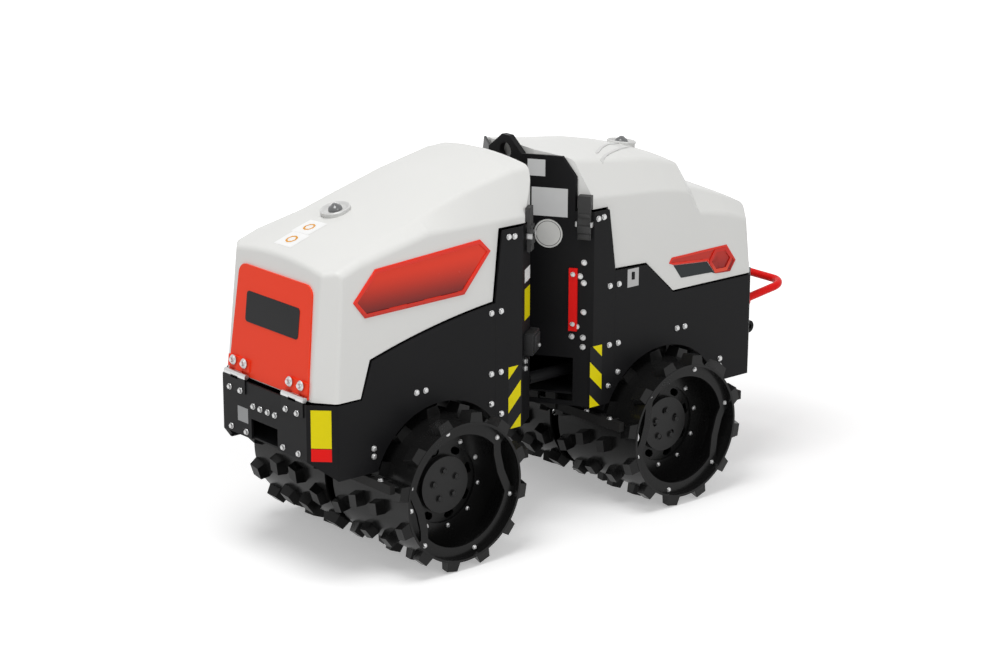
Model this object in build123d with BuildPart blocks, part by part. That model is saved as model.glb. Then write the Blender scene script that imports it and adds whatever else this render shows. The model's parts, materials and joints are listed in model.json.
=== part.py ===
from build123d import *
import os
from math import cos, hypot, radians, sin, sqrt

# An articulated trench roller, in millimetres. Two modules stand in line, joined by an upright
# steering pivot, and each runs on a pair of padded drums. +X is forward, +Y is left, +Z is up,
# and the origin lies on the ground under the middle of the whole machine.
# A reach is a distance from the steering pivot outwards, along either module.

# The machine
wheelbase = 960
end_reach = 957
frame_width = 580
drum_width = 820
plate = 8
seam = 0.3
running_gap = 6
overrun = 40  # how far a cutting form reaches past what it cuts

# Frame heights, and the plan of each module's ends
side_bottom = 356
floor_z = 417
corner_bottom = 380
corner_seam = 258
end_seam = 886
end_flat = 222
corner_tab = 30
arch_radius = 272
belly_radius = 276
belly_plate = 6
gap_half = 70
gap_top = 485

# Drums
drum_tip = 520
pad_height = 30
drum_gap = 44
shell = 8
drum_split = 290
pads_per_row = 12
pad_length = 46
pad_width = 52
pad_skew = 12
pad_taper = 8
pad_root = 3
bearing_length = 50
bearing_wall = 25
web_holes = 8
web_hole_circle = 112
web_hole_length = 38
web_hole_width = 24
web_hole_start = 30
web_hole_corner = 8
hub_holes = 5
hub_hole_circle = 48
hub_hole_radius = 10
hub_hole_start = 12
hub_hole_sides = 10
flange_bolts = 6
flange_bolt_circle = 209
flange_inset = 22
flange_inner = 185
bar_width = 28
bar_bends = [(176, 13), (167, 34)]
bar_clear_angle = 7
ring_plate_inner = 130
hub_radius = 93
hub_thickness = 17
stub_radius = 35
stub_play = 0.3

# Rows of pads, in (distance from the middle, angle of the first pad)
inner_rows = [(58, 10), (161, 22), (264, 22)]
outer_row = (386, 10)

# Hoods
hood_wall = 6
hood_gap = 6
hood_base = 290
hood_crease = 274
hood_roof = 218
crown = 18
hood_lean = 45 / 404
nose_set = 21
hood_low = 560
hood_high = 1300
hood_rounding = 30
hood_inner_corner = 12
fold_rounding = 20
nose_rounding = 20
hinge_radius = 8.5
hinge_pin = 4
leaf = 4
hinge_inner = 96
hinge_outer = 210
hinge_rise = 13
leaf_inset = 12.5
leaf_drop = 42
leaf_rise = 50
knuckle_gap = 0.5

# Steering joint and cylinder
joint_low = 400
joint_high = 580
joint_plate = 20
joint_round = 35
lug_round = 32
joint_half = 55
joint_back = 80
throat_back = 60
pin_radius = 20
pin_stand = 6
pin_play = 0.1
thrust_gap = 1
steer_z = 480
steer_y = 150
barrel_reach = 225
rod_reach = 120
barrel_radius = 20
barrel_bore = 16
barrel_front = 2
gland = 12
rod_radius = 11
eye_radius = 20
eye_height = 40
eye_bore = 10.3
eye_pin = 10
eye_sink = 6
seat_width = 38
seat_length = 60
clevis_half = 25
clevis_plate = 12
clevis_throat = 46
clevis_back = 62

# Handle bar at the rear
bar_reach = 1165
bar_radius = 14
bar_half = 190
bar_root_z = 586
bar_top_z = 614
bar_bend = 60
bar_foot = 8

# Lashing eyes and lock bar at the rear
lash_y = 205
lash_z = 490
lash_stand = 12
lash_radius = 22
lash_hole = 11
lash_plate = 12
lock_along = 178
lock_low = 640
lock_width = 28
lock_height = 212
lock_plate = 10

# Worked out from the sizes above
front, rear = 1, -1
half = frame_width / 2
axle = wheelbase / 2
axle_z = drum_tip / 2
shell_radius = axle_z - pad_height
front_reach = end_reach + leaf
rear_reach = bar_reach + bar_radius
pivot_x = (rear_reach - front_reach) / 2
hinge_reach = front_reach - hinge_radius

# Top edge of a side plate in runs of (reach, height), three points being an arc
front_edge = [
    [(end_seam, 600), (793, 600)],
    [(793, 600), (753, 718)],
    [(753, 718), (561, 767), (corner_seam, 814)],
]
rear_edge = [
    [(end_seam, 709), (523, 711)],
    [(523, 711), (400, 827)],
    [(400, 827), (corner_seam, 832)],
]

# Plan of the pivot end of a module, in (reach, half width) from the middle outwards
front_corner = [(64, 233), (145, half)]
rear_corner = [(27, 84), (162, half)]

# Lifting eye, a thick plate set in a notch in the middle of the rear bulkhead
lug_shoulder = 1222
lug_depth = 102
lug_rise = 49
lug_half = 80
lug_tip_half = 18
lug_thickness = 20
lug_eye_drop = 4
lug_hole = 28

# Wings of the rear bulkhead, in drops from the shoulder of the lifting eye
wing_half = 235
wing_top_half = 196
wing_drop = 65
tab_drop = 179

# Outline of a bulkhead's top, in (half width, height) from the middle outwards
front_tops = {"tab_top": 1046, "shoulder": 814}
rear_tops = {"tab_top": lug_shoulder - tab_drop, "shoulder": 832}
front_skyline = [(half, front_tops["tab_top"])]
rear_skyline = [
    (lug_half + seam, lug_shoulder - lug_depth - seam),
    (lug_half + seam, lug_shoulder),
    (wing_top_half, lug_shoulder),
    (wing_half, lug_shoulder - wing_drop),
    (wing_half, rear_tops["tab_top"]),
    (half, rear_tops["tab_top"]),
]

# Hood sections, in (reach, roof edge height, shoulder crease height)
front_sections = [
    (40, 1222, 1075),
    (134, 1218, 1075),
    (329, 1176, 1075),
    (513, 1122, 1083),
    (783, 1042, 1039),
    (970, 979, 974),
]
rear_sections = [
    (40, 1224, 1095),
    (262, 1193, 1080),
    (429, 1174, 1068),
    (510, 1157, 1060),
    (593, 1132, 1044),
    (653, 1042, 962),
    (789, 998, 935),
    (970, 923, 876),
]


def ahead(side, reach):
    return pivot_x + side * reach


def lengthwise(side, y=0):
    """Upright plane along the machine, its x running out from the pivot and its y up."""
    return Plane(origin=(pivot_x, y, 0), x_dir=(side, 0, 0), z_dir=(0, -side, 0))


def across(side, reach):
    """Upright plane across the machine, its x to the left and its y up."""
    return Plane(origin=(ahead(side, reach), 0, 0), x_dir=(0, 1, 0), z_dir=(1, 0, 0))


def level(side, z):
    """Level plane at a height, its x running out from the pivot."""
    return Plane(origin=(pivot_x, 0, z), x_dir=(side, 0, 0), z_dir=(0, 0, 1))


def mirrored(points):
    """The points, then the same points with the other sign of y, in reverse."""
    return points + [(x, -y) for x, y in reversed(points)]


def facing(points):
    """The same for points that are (half width, height)."""
    return points + [(-y, z) for y, z in reversed(points)]


def save(piece, label):
    piece.part.label = label
    export_step(piece.part, f"parts/{label}.step")


def side_plate(side, hand, edge):
    """A side of the tub, with its wheel arch and its shaped top edge."""
    with BuildPart() as panel:
        with BuildSketch(lengthwise(side, hand * (half - plate / 2))):
            with BuildLine():
                for run in edge:
                    if len(run) == 2:
                        Line(*run)
                    else:
                        ThreePointArc(*run)
                top = edge[-1][-1][1]
                Line((corner_seam, top), (corner_seam, side_bottom))
                Line((corner_seam, side_bottom), (end_seam, side_bottom))
                Line((end_seam, side_bottom), edge[0][0])
            make_face()
            with Locations((axle, axle_z)):
                Circle(arch_radius, mode=Mode.SUBTRACT)
        extrude(amount=plate / 2, both=True)
    return panel


def module_ring(side, corner):
    """Sketch of the tub's wall in plan, all the way round."""
    Polyline(*mirrored(corner + [(end_seam, half), (end_reach, end_flat)]), close=True)


def bulkhead(side, corner, skyline, tab_top, shoulder):
    """Folded wall at the pivot end, with its corner plates, as far as the side plates."""
    top = max(z for _, z in skyline)
    with BuildPart() as wall:
        with BuildSketch(level(side, corner_bottom)):
            with BuildLine():
                module_ring(side, corner)
            make_face()
            offset(amount=-plate, kind=Kind.INTERSECTION, mode=Mode.SUBTRACT)
            with Locations((corner_seam - seam, 0)):
                Rectangle(end_reach, frame_width, align=(Align.MIN, Align.CENTER), mode=Mode.SUBTRACT)
        extrude(amount=top - corner_bottom)
        with BuildSketch(across(side, 0)):
            with BuildLine():
                Polyline(*facing([(half, corner_bottom)] + skyline[::-1]), close=True)
            make_face()
        extrude(amount=corner_seam, both=True, mode=Mode.INTERSECT)
        with BuildSketch(lengthwise(side)):
            with BuildLine():
                Polyline(
                    (corner_seam - corner_tab, top + overrun),
                    (corner_seam - corner_tab, tab_top),
                    (corner_seam, shoulder),
                    (end_reach, shoulder),
                    (end_reach, top + overrun),
                    close=True,
                )
            make_face()
            with Locations((axle, axle_z)):
                Circle(arch_radius)
        extrude(amount=half, both=True, mode=Mode.SUBTRACT)
    return wall


def end_plate(side, corner, top):
    """Folded plate that closes the outer end, with a cut-out at the bottom of its middle."""
    with BuildPart() as wall:
        with BuildSketch(level(side, side_bottom)):
            with BuildLine():
                module_ring(side, corner)
            make_face()
            offset(amount=-plate, kind=Kind.INTERSECTION, mode=Mode.SUBTRACT)
            with Locations((end_seam + seam, 0)):
                Rectangle(end_reach, frame_width, align=(Align.MAX, Align.CENTER), mode=Mode.SUBTRACT)
        extrude(amount=top - side_bottom)
        with BuildSketch(across(side, end_reach)):
            with BuildLine():
                foot = [(half, 0), (half, side_bottom), (end_flat, floor_z)]
                Polyline(*facing(foot + [(gap_half, floor_z), (gap_half, gap_top)]), close=True)
            make_face()
        extrude(amount=end_reach - end_seam, both=True, mode=Mode.SUBTRACT)
    return wall


def belly(side, corner):
    """Arched floor over the drums, with a flat floor at each end."""
    with BuildPart() as sheet:
        with BuildSketch(lengthwise(side)):
            with Locations((axle, axle_z)):
                Circle(belly_radius + belly_plate)
            with Locations((axle, side_bottom)):
                Rectangle(wheelbase, drum_tip, align=(Align.CENTER, Align.MAX), mode=Mode.SUBTRACT)
            with Locations((end_reach / 2, floor_z)):
                Rectangle(end_reach, belly_plate, align=(Align.CENTER, Align.MIN))
            with Locations((axle, axle_z)):
                Circle(belly_radius, mode=Mode.SUBTRACT)
        extrude(amount=half, both=True)
        with BuildSketch(level(side, 0)):
            with BuildLine():
                module_ring(side, corner)
            make_face()
            offset(amount=-plate - seam, kind=Kind.INTERSECTION)
        extrude(amount=wheelbase, mode=Mode.INTERSECT)
    return sheet


# Axle carrier
carrier_web = 28
carrier_boss = 95
carrier_root = 220
housing_radius = 85
housing_half = 150
stub_half = drum_split - plate - 2


def carrier(side):
    """Plate that hangs between the two drums, with the axle housing and its stub shafts."""
    with BuildPart() as hanger:
        with BuildSketch(lengthwise(side)):
            with Locations((axle, axle_z)):
                Circle(carrier_boss)
            with Locations((axle, axle_z + belly_radius)):
                Rectangle(carrier_root, plate)
            make_hull()
            with Locations((axle, axle_z)):
                Circle(belly_radius - seam, mode=Mode.INTERSECT)
        extrude(amount=carrier_web / 2, both=True)
        with BuildSketch(lengthwise(side)):
            with Locations((axle, axle_z)):
                Circle(housing_radius)
        extrude(amount=housing_half, both=True)
        with BuildSketch(lengthwise(side)):
            with Locations((axle, axle_z)):
                Circle(stub_radius)
        extrude(amount=stub_half, both=True)
    return hanger


def drum_axis(side):
    return Axis((ahead(side, axle), 0, axle_z), (0, 1, 0))


def drum_profile_plane(side, hand):
    """Plane for a drum's section, its x running outwards along the axle and its y the radius."""
    return Plane(origin=(ahead(side, axle), 0, axle_z), x_dir=(0, hand, 0), z_dir=(hand, 0, 0))


def drum_face_plane(side, y):
    """Upright plane across the axle, seen from the left."""
    return Plane(origin=(ahead(side, axle), y, axle_z), x_dir=(1, 0, 0), z_dir=(0, -1, 0))


def pad(hand):
    """One oblique pad, lying on its foot with its tip up."""
    with BuildPart() as lozenge:
        with BuildSketch():
            with BuildLine():
                lag = hand * pad_skew / 2
                Polyline(
                    (-pad_length / 2, -pad_width / 2 - lag),
                    (pad_length / 2, -pad_width / 2 + lag),
                    (pad_length / 2, pad_width / 2 + lag),
                    (-pad_length / 2, pad_width / 2 - lag),
                    close=True,
                )
            make_face()
        extrude(amount=pad_height + pad_root, taper=pad_taper)
    return lozenge


def pad_places(side, y, start):
    """Where one row of pads stands on a drum."""
    foot = shell_radius - pad_root
    places = []
    for i in range(pads_per_row):
        angle = radians(start + i * 360 / pads_per_row)
        out = (cos(angle), 0, sin(angle))
        origin = (ahead(side, axle) + foot * out[0], y, axle_z + foot * out[2])
        places.append(Plane(origin=origin, x_dir=(0, 1, 0), z_dir=out).location)
    return places


def main_drum(side, hand):
    """Inner part of a drum, with its web, hub bearing and staggered rows of pads."""
    inner = shell_radius - shell
    with BuildPart() as drum:
        with BuildSketch(drum_profile_plane(side, hand)):
            with BuildLine():
                Polyline(
                    (drum_gap / 2, shell_radius),
                    (drum_split, shell_radius),
                    (drum_split, stub_radius + stub_play),
                    (drum_split - bearing_length, stub_radius + stub_play),
                    (drum_split - bearing_length, stub_radius + bearing_wall),
                    (drum_split - plate, stub_radius + bearing_wall),
                    (drum_split - plate, inner),
                    (drum_gap / 2, inner),
                    close=True,
                )
            make_face()
        revolve(axis=drum_axis(side))
        with BuildSketch(drum_face_plane(side, hand * drum_split)):
            with PolarLocations(web_hole_circle, web_holes, start_angle=web_hole_start):
                with BuildSketch(mode=Mode.PRIVATE) as opening:
                    Rectangle(web_hole_width, web_hole_length)
                    chamfer(opening.vertices(), length=web_hole_corner)
                add(opening.sketch)
        extrude(amount=plate, both=True, mode=Mode.SUBTRACT)
        lozenge = pad(hand)
        places = []
        for y, start in inner_rows:
            places += pad_places(side, hand * y, start)
        with Locations(*places):
            add(lozenge.part)
    return drum


def extension(side, hand, turn):
    """Outer part of a drum, bolted to the inner one, with a flange that two bars cross."""
    outer = drum_width / 2
    inner = shell_radius - shell
    flange = outer - flange_inset
    pitch = 360 / flange_bolts
    with BuildPart() as ring:
        with BuildSketch(drum_profile_plane(side, hand)):
            with BuildLine():
                Polyline(
                    (drum_split + seam, shell_radius),
                    (outer, shell_radius),
                    (outer, inner),
                    (drum_split + seam + plate, inner),
                    (drum_split + seam + plate, ring_plate_inner),
                    (drum_split + seam, ring_plate_inner),
                    close=True,
                )
            make_face()
        revolve(axis=drum_axis(side))
        with BuildSketch(drum_face_plane(side, hand * (flange - plate / 2))):
            Circle(shell_radius - shell / 2)
            Circle(flange_inner, mode=Mode.SUBTRACT)
            for first in (2, 5):
                start = turn + first * pitch
                corners = (bar_clear_angle, pitch / 2, pitch - bar_clear_angle)
                with BuildLine():
                    Polyline((0, 0), *[polar(shell_radius, start + a) for a in corners], close=True)
                make_face(mode=Mode.SUBTRACT)
            for first in (2, 5):
                start = turn + first * pitch
                with BuildLine():
                    bar = Polyline(
                        polar(flange_bolt_circle, start),
                        *[polar(radius, start + a) for radius, a in bar_bends],
                        polar(flange_bolt_circle, start + pitch),
                    )
                trace(bar, line_width=bar_width)
            with PolarLocations(flange_bolt_circle, flange_bolts, start_angle=turn):
                Circle(bar_width / 2 + 2)
            Circle(shell_radius - shell / 2, mode=Mode.INTERSECT)
        extrude(amount=plate / 2, both=True)
        lozenge = pad(hand)
        y, start = outer_row
        with Locations(*pad_places(side, hand * y, start)):
            add(lozenge.part)
    return ring


def polar(radius, angle):
    return (radius * cos(radians(angle)), radius * sin(radians(angle)))


def hub(side, hand):
    """Disc that caps the drum's bearing, with its ring of blind holes."""
    with BuildPart() as disc:
        with BuildSketch(drum_face_plane(side, hand * (drum_split + seam))):
            Circle(hub_radius)
        extrude(amount=-hand * hub_thickness)
        with BuildSketch(drum_face_plane(side, hand * (drum_split + seam + hub_thickness))):
            with PolarLocations(hub_hole_circle, hub_holes, start_angle=hub_hole_start):
                RegularPolygon(hub_hole_radius, hub_hole_sides)
        extrude(amount=hand * plate, mode=Mode.SUBTRACT)
    return disc


# Scraper bars, in distances from the axle
scraper_near = 262
scraper_far = 282
scraper_low = 50
scraper_high = 80
scraper_half = 385
scraper_middle = (scraper_near + scraper_far) / 2
tine_width = 12
tine_height = 14
tine_lift = 16
hanger_y = 45
hanger_width = 50
hanger_plate = 10


def scraper(side, beyond):
    """Bar across both drums with tines that clean between the rows of pads.

    beyond is 1 at the outer side of the axle and -1 at the pivot side.
    """
    with BuildPart() as comb:
        with BuildSketch(lengthwise(side)):
            with Locations((axle + beyond * scraper_middle, axle_z + scraper_low)):
                Rectangle(
                    scraper_far - scraper_near, scraper_high - scraper_low, align=(Align.CENTER, Align.MIN)
                )
        extrude(amount=scraper_half, both=True)
        tip = sqrt((shell_radius + running_gap) ** 2 - scraper_low**2)
        mid = (tip + scraper_far) / 2
        for hand in (-1, 1):
            rows = inner_rows + [outer_row]
            for (near, _), (far, _) in zip(rows, rows[1:]):
                with BuildSketch(lengthwise(side, hand * (near + far) / 2)):
                    with Locations((axle + beyond * mid, axle_z + scraper_low + tine_lift)):
                        Rectangle(scraper_far - tip, tine_height)
                extrude(amount=tine_width / 2, both=True)
            with BuildSketch(lengthwise(side, hand * hanger_y)):
                with Locations((axle + beyond * scraper_far, axle_z + scraper_low)):
                    drop = floor_z - seam - axle_z - scraper_low
                    Rectangle(hanger_plate, drop, align=(Align.CENTER, Align.MIN))
            extrude(amount=hanger_width / 2, both=True)
    return comb


def hood_block(side, corner, sections, foot, inset):
    """Solid form of a hood, drawn in by inset on every side but the bottom.

    The outer form has rounded edges, and the inner one plainer corners.
    """
    with BuildPart() as block:
        for reach, roof, crease in sections:
            with BuildSketch(across(side, reach)) as section:
                with BuildLine():
                    arc = ThreePointArc(
                        (hood_roof - inset, roof - inset),
                        (0, roof + crown - inset),
                        (inset - hood_roof, roof - inset),
                    )
                    Polyline(
                        arc @ 1,
                        (inset - hood_crease, crease - inset),
                        (inset - hood_base, hood_low),
                        (hood_base - inset, hood_low),
                        (hood_crease - inset, crease - inset),
                        arc @ 0,
                    )
                make_face()
                corners = section.vertices().sort_by(Axis.Y)[2:]
                if inset:
                    chamfer(corners, length=hood_inner_corner)
                else:
                    fillet(corners, radius=hood_rounding)
        loft(ruled=True)
        for z in (hood_low, hood_high):
            lean = hood_lean * (z - foot)
            nose = [(end_seam - lean, half), (end_reach - nose_set - lean, end_flat)]
            with BuildSketch(level(side, z)) as plan:
                with BuildLine():
                    Polyline(*mirrored(corner + nose), close=True)
                make_face()
                if inset:
                    offset(amount=-inset, kind=Kind.INTERSECTION)
                else:
                    fillet(plan.vertices(), radius=fold_rounding)
        loft(ruled=True, mode=Mode.INTERSECT)
        if not inset:
            ends = block.faces().filter_by(lambda face: side * face.normal_at().X > 0.95)
            nose_face = ends.sort_by(SortBy.AREA)[-1]
            middle = nose_face.center().Z
            brow = nose_face.edges().filter_by(lambda edge: min((edge @ 0).Z, (edge @ 1).Z) > middle)
            fillet(brow, radius=nose_rounding)
    return block


def hood(side, corner, sections, edge, tab_top):
    """Hollow hood, open below, its rim following the side plates."""
    foot = edge[0][0][1] + hood_gap
    outer = hood_block(side, corner, sections, foot, 0)
    inner = hood_block(side, corner, sections, foot, hood_wall)
    with BuildPart() as cover:
        add(outer.part)
        add(inner.part, mode=Mode.SUBTRACT)
        with BuildSketch(lengthwise(side)):
            with BuildLine():
                for run in edge:
                    if len(run) == 2:
                        Line(*run)
                    else:
                        ThreePointArc(*run)
                start, end = edge[0][0], edge[-1][-1]
                Polyline(
                    end,
                    (corner_seam - corner_tab, tab_top),
                    (0, tab_top),
                    (0, side_bottom),
                    (end_reach + overrun, side_bottom),
                    (end_reach + overrun, start[1]),
                    start,
                )
            make_face()
            offset(amount=hood_gap, kind=Kind.INTERSECTION)
        extrude(amount=half + overrun, both=True, mode=Mode.SUBTRACT)
    return cover, outer


def nose_plane(side, z, foot):
    """Plane on the outer face of a hood's end, its y up the slope."""
    reach = end_reach - nose_set - hood_lean * (z - foot)
    return Plane(origin=(ahead(side, reach), 0, z), x_dir=(0, side, 0), z_dir=(side, 0, hood_lean))


# Nose panels
panel_thickness = 6
panel_foot = 209
panel_head = 191
panel_corner = 35
panel_drop = 2
front_panel_height = 352
rear_panel_height = 190
rear_louvres = 4
louvre_length = 260
louvre_width = 14
louvre_pitch = 30


def nose_panel(side, top, low, height, louvres):
    """Coloured panel on the end of a hood, with louvre slots where the engine's air leaves."""
    with BuildPart() as panel:
        with BuildSketch(nose_plane(side, low, top + hood_gap)) as face:
            with BuildLine():
                Polyline(
                    (panel_foot, 0), (panel_head, height), (-panel_head, height), (-panel_foot, 0),
                    close=True,
                )
            make_face()
            fillet(face.vertices().group_by(Axis.Y)[-1], radius=panel_corner)
            if louvres:
                with Locations((0, height / 2)):
                    with GridLocations(0, louvre_pitch, 1, louvres):
                        SlotOverall(louvre_length, louvre_width, mode=Mode.SUBTRACT)
        extrude(amount=panel_thickness)
    return panel


def knuckle(side, hand, z, start, end, radius, mode=Mode.ADD):
    """A round length of a hinge's barrel."""
    with BuildSketch(lengthwise(side, hand * (start + end) / 2)) as section:
        with Locations((hinge_reach, z)):
            Circle(radius)
    extrude(section.sketch, amount=(end - start) / 2, both=True, mode=mode)


def frame_hinge(side, top, z):
    """Fixed leaves of a hood's two hinges, with their outer knuckles and pins."""
    length = (hinge_outer - hinge_inner) / 3
    with BuildPart() as leaves:
        for hand in (-1, 1):
            middle = hand * (hinge_inner + hinge_outer) / 2
            with BuildSketch(across(side, end_reach + seam)):
                with Locations((middle, top)):
                    Rectangle(3 * length, leaf_drop, align=(Align.CENTER, Align.MAX))
                with Locations((middle - length, top), (middle + length, top)):
                    Rectangle(length, z - top, align=(Align.CENTER, Align.MIN))
            extrude(amount=side * (leaf - seam))
            knuckle(side, hand, z, hinge_inner, hinge_inner + length, hinge_radius)
            knuckle(side, hand, z, hinge_outer - length, hinge_outer, hinge_radius)
            knuckle(side, hand, z, hinge_inner, hinge_outer, hinge_pin)
    return leaves


def hood_hinge(side, top, z):
    """Moving leaves of a hood's two hinges, each with its middle knuckle."""
    length = (hinge_outer - hinge_inner) / 3
    with BuildPart() as leaves:
        for hand in (-1, 1):
            middle = side * hand * (hinge_inner + hinge_outer) / 2
            with BuildSketch(nose_plane(side, z, top + hood_gap).offset(panel_thickness + seam)):
                with Locations((middle, leaf_inset)):
                    Rectangle(3 * length, leaf_rise - leaf_inset, align=(Align.CENTER, Align.MIN))
                with Locations((middle, -panel_drop)):
                    Rectangle(length - 2 * knuckle_gap, leaf_rise, align=(Align.CENTER, Align.MIN))
            extrude(amount=leaf)
            start = hinge_inner + length + knuckle_gap
            end = hinge_inner + 2 * length - knuckle_gap
            knuckle(side, hand, z, start, end, hinge_radius)
            knuckle(side, hand, z, start, end, hinge_pin + seam, Mode.SUBTRACT)
    return leaves


def corner_wall(side, corner, z):
    """Plane on the slanting wall at a module's left corner, facing the pivot, its y up."""
    (near, inner), (far, outer) = corner
    normal = Vector(-side * (outer - inner), far - near, 0)
    return Plane(
        origin=(ahead(side, near), inner, z), x_dir=Vector(0, 0, 1).cross(normal), z_dir=normal
    )


# Latches, in drops and rises from the top of the wall's corner tab
latch_width = 43
latch_drop = 90
latch_foot = 9
latch_rise = 55
latch_strap = 9
front_latch_along = 50
rear_latch_along = 180


def latches(side, corner, top, along, stand):
    """Straps that hold a hood down at the pivot end, standing clear of the wall below it."""
    with BuildPart() as straps:
        with BuildSketch(corner_wall(side, corner, 0).offset(seam)):
            with Locations((along, top + latch_foot)):
                Rectangle(latch_width, latch_rise - latch_foot, align=(Align.CENTER, Align.MIN))
        extrude(amount=stand + latch_strap)
        with BuildSketch(corner_wall(side, corner, 0).offset(seam + stand)):
            with Locations((along, top - latch_drop)):
                Rectangle(latch_width, latch_drop + latch_foot, align=(Align.CENTER, Align.MIN))
        extrude(amount=latch_strap)
        mirror(about=Plane.XZ)
    return straps


# Receivers on the roofs, in steps of (radius, height), each at a (reach, left, height)
receiver_steps = [(42, 8), (28, 22)]
front_receiver = (625, -55, 1104)
rear_receiver = (555, -15, 1160)
receiver_skirt = 30
receiver_bevel = 5


def receiver(side, block, place):
    """Stepped receiver for the remote control, let into a hood's roof by its own skirt."""
    reach, left, roof = place
    with BuildPart() as dome:
        for radius, height in receiver_steps:
            with BuildSketch(level(side, roof - receiver_skirt)):
                with Locations((reach, side * left)):
                    Circle(radius)
            extrude(amount=receiver_skirt + height)
        chamfer(dome.edges().filter_by(GeomType.CIRCLE).sort_by(Axis.Z)[-1], length=receiver_bevel)
        add(block.part.moved(Location((0, 0, seam))), mode=Mode.SUBTRACT)
    return dome


def block(side, near, far, width, high):
    """A heavy inner mass as one plain block on the belly."""
    low = axle_z + belly_radius + belly_plate + seam
    with BuildPart() as mass:
        with BuildSketch(level(side, low)):
            with Locations(((near + far) / 2, 0)):
                Rectangle(far - near, width)
        extrude(amount=high - low)
    return mass


os.makedirs("parts", exist_ok=True)

front_end_top = front_edge[0][0][1]
rear_end_top = rear_edge[0][0][1]

# Tub of each module
front_bulkhead = bulkhead(front, front_corner, front_skyline, **front_tops)
rear_bulkhead = bulkhead(rear, rear_corner, rear_skyline, **rear_tops)

# Windows for the steering cylinder in both bulkheads, and for the yoke in the rear one
front_window_width = 110
front_window_height = 84
rear_window_width = 148
rear_window_height = 150
rear_window_low = 395
front_window_shift = 5
rear_window_shift = 9
with BuildPart() as front_window:
    with BuildSketch(across(front, 0)):
        with Locations((steer_y + front_window_shift, steer_z)):
            Rectangle(front_window_width, front_window_height)
    extrude(amount=rod_reach, both=True)
with BuildPart() as rear_window:
    with BuildSketch(across(rear, 0)):
        with Locations((steer_y + rear_window_shift, rear_window_low)):
            Rectangle(rear_window_width, rear_window_height, align=(Align.CENTER, Align.MIN))
        with Locations((0, (joint_low + joint_high) / 2)):
            Rectangle(2 * (joint_half + seam), joint_high - joint_low + 2 * seam)
    extrude(amount=barrel_reach, both=True)

with BuildPart() as front_wall:
    add(front_bulkhead.part)
    add(front_window.part, mode=Mode.SUBTRACT)
with BuildPart() as rear_wall:
    add(rear_bulkhead.part)
    add(rear_window.part, mode=Mode.SUBTRACT)
save(front_wall, "front_bulkhead")
save(rear_wall, "rear_bulkhead")

with BuildPart() as lifting_lug:
    with BuildSketch(across(rear, rear_corner[0][0])):
        with BuildLine():
            Polyline(
                *facing(
                    [
                        (lug_half, lug_shoulder - lug_depth),
                        (lug_half, lug_shoulder),
                        (lug_tip_half, lug_shoulder + lug_rise),
                    ]
                ),
                close=True,
            )
        make_face()
        with Locations((0, lug_shoulder - lug_eye_drop)):
            Circle(lug_hole, mode=Mode.SUBTRACT)
    extrude(amount=-lug_thickness)
save(lifting_lug, "lifting_lug")

for name, side, edge in (("front", front, front_edge), ("rear", rear, rear_edge)):
    save(side_plate(side, 1, edge), f"{name}_side_left")
    save(side_plate(side, -1, edge), f"{name}_side_right")
save(end_plate(front, front_corner, front_end_top), "front_end_plate")
save(end_plate(rear, rear_corner, rear_end_top), "rear_end_plate")
save(belly(front, front_corner), "front_belly")
with BuildPart() as rear_belly:
    add(belly(rear, rear_corner).part)
    with BuildSketch(level(rear, joint_low)):
        Rectangle(2 * (joint_back + running_gap), 2 * (joint_half + seam))
    extrude(amount=floor_z - joint_low + belly_plate, mode=Mode.SUBTRACT)
save(rear_belly, "rear_belly")

# Axles and drums
for name, side, turn in (("front", front, 15), ("rear", rear, 45)):
    save(carrier(side), f"{name}_carrier")
    save(scraper(side, 1), f"{name}_scraper_outer")
    save(scraper(side, -1), f"{name}_scraper_inner")
    for hand, word in ((1, "left"), (-1, "right")):
        save(main_drum(side, hand), f"{name}_drum_{word}")
        save(extension(side, hand, turn), f"{name}_drum_ring_{word}")
        save(hub(side, hand), f"{name}_hub_{word}")

# Hoods. The rear one stands behind the wings of its bulkhead.
hood_setback = 14
wing_run = rear_corner[1][0] - rear_corner[0][0]
wing_rise = rear_corner[1][1] - rear_corner[0][1]
wing_shift = hood_setback * hypot(wing_run, wing_rise) / wing_rise
hood_front_reach = 58
wing_slope = wing_run / wing_rise
meet = rear_corner[0][1] + (hood_front_reach - rear_corner[0][0] - wing_shift) / wing_slope
rear_hood_corner = [(hood_front_reach, meet), (rear_corner[1][0] + wing_shift, half)]
front_hinge_z = front_end_top + hinge_rise
rear_hinge_z = rear_end_top + hinge_rise

front_hood, front_block = hood(front, front_corner, front_sections, front_edge, front_tops["tab_top"])
rear_hood, rear_block = hood(rear, rear_hood_corner, rear_sections, rear_edge, rear_tops["tab_top"])
save(front_hood, "front_hood")
save(rear_hood, "rear_hood")
front_foot, rear_foot = front_hinge_z - panel_drop, rear_hinge_z - panel_drop
save(nose_panel(front, front_end_top, front_foot, front_panel_height, louvres=0), "front_panel")
save(nose_panel(rear, rear_end_top, rear_foot, rear_panel_height, rear_louvres), "rear_panel")
save(frame_hinge(front, front_end_top, front_hinge_z), "front_hinge_leaves")
save(frame_hinge(rear, rear_end_top, rear_hinge_z), "rear_hinge_leaves")
save(hood_hinge(front, front_end_top, front_hinge_z), "front_hood_hinges")
save(hood_hinge(rear, rear_end_top, rear_hinge_z), "rear_hood_hinges")
stand = running_gap + 1
front_tab, rear_tab = front_tops["tab_top"], rear_tops["tab_top"]
save(latches(front, front_corner, front_tab, -front_latch_along, stand), "front_latches")
save(latches(rear, rear_hood_corner, rear_tab, rear_latch_along, hood_setback + stand), "rear_latches")
save(receiver(front, front_block, front_receiver), "front_receiver")
save(receiver(rear, rear_block, rear_receiver), "rear_receiver")

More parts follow.
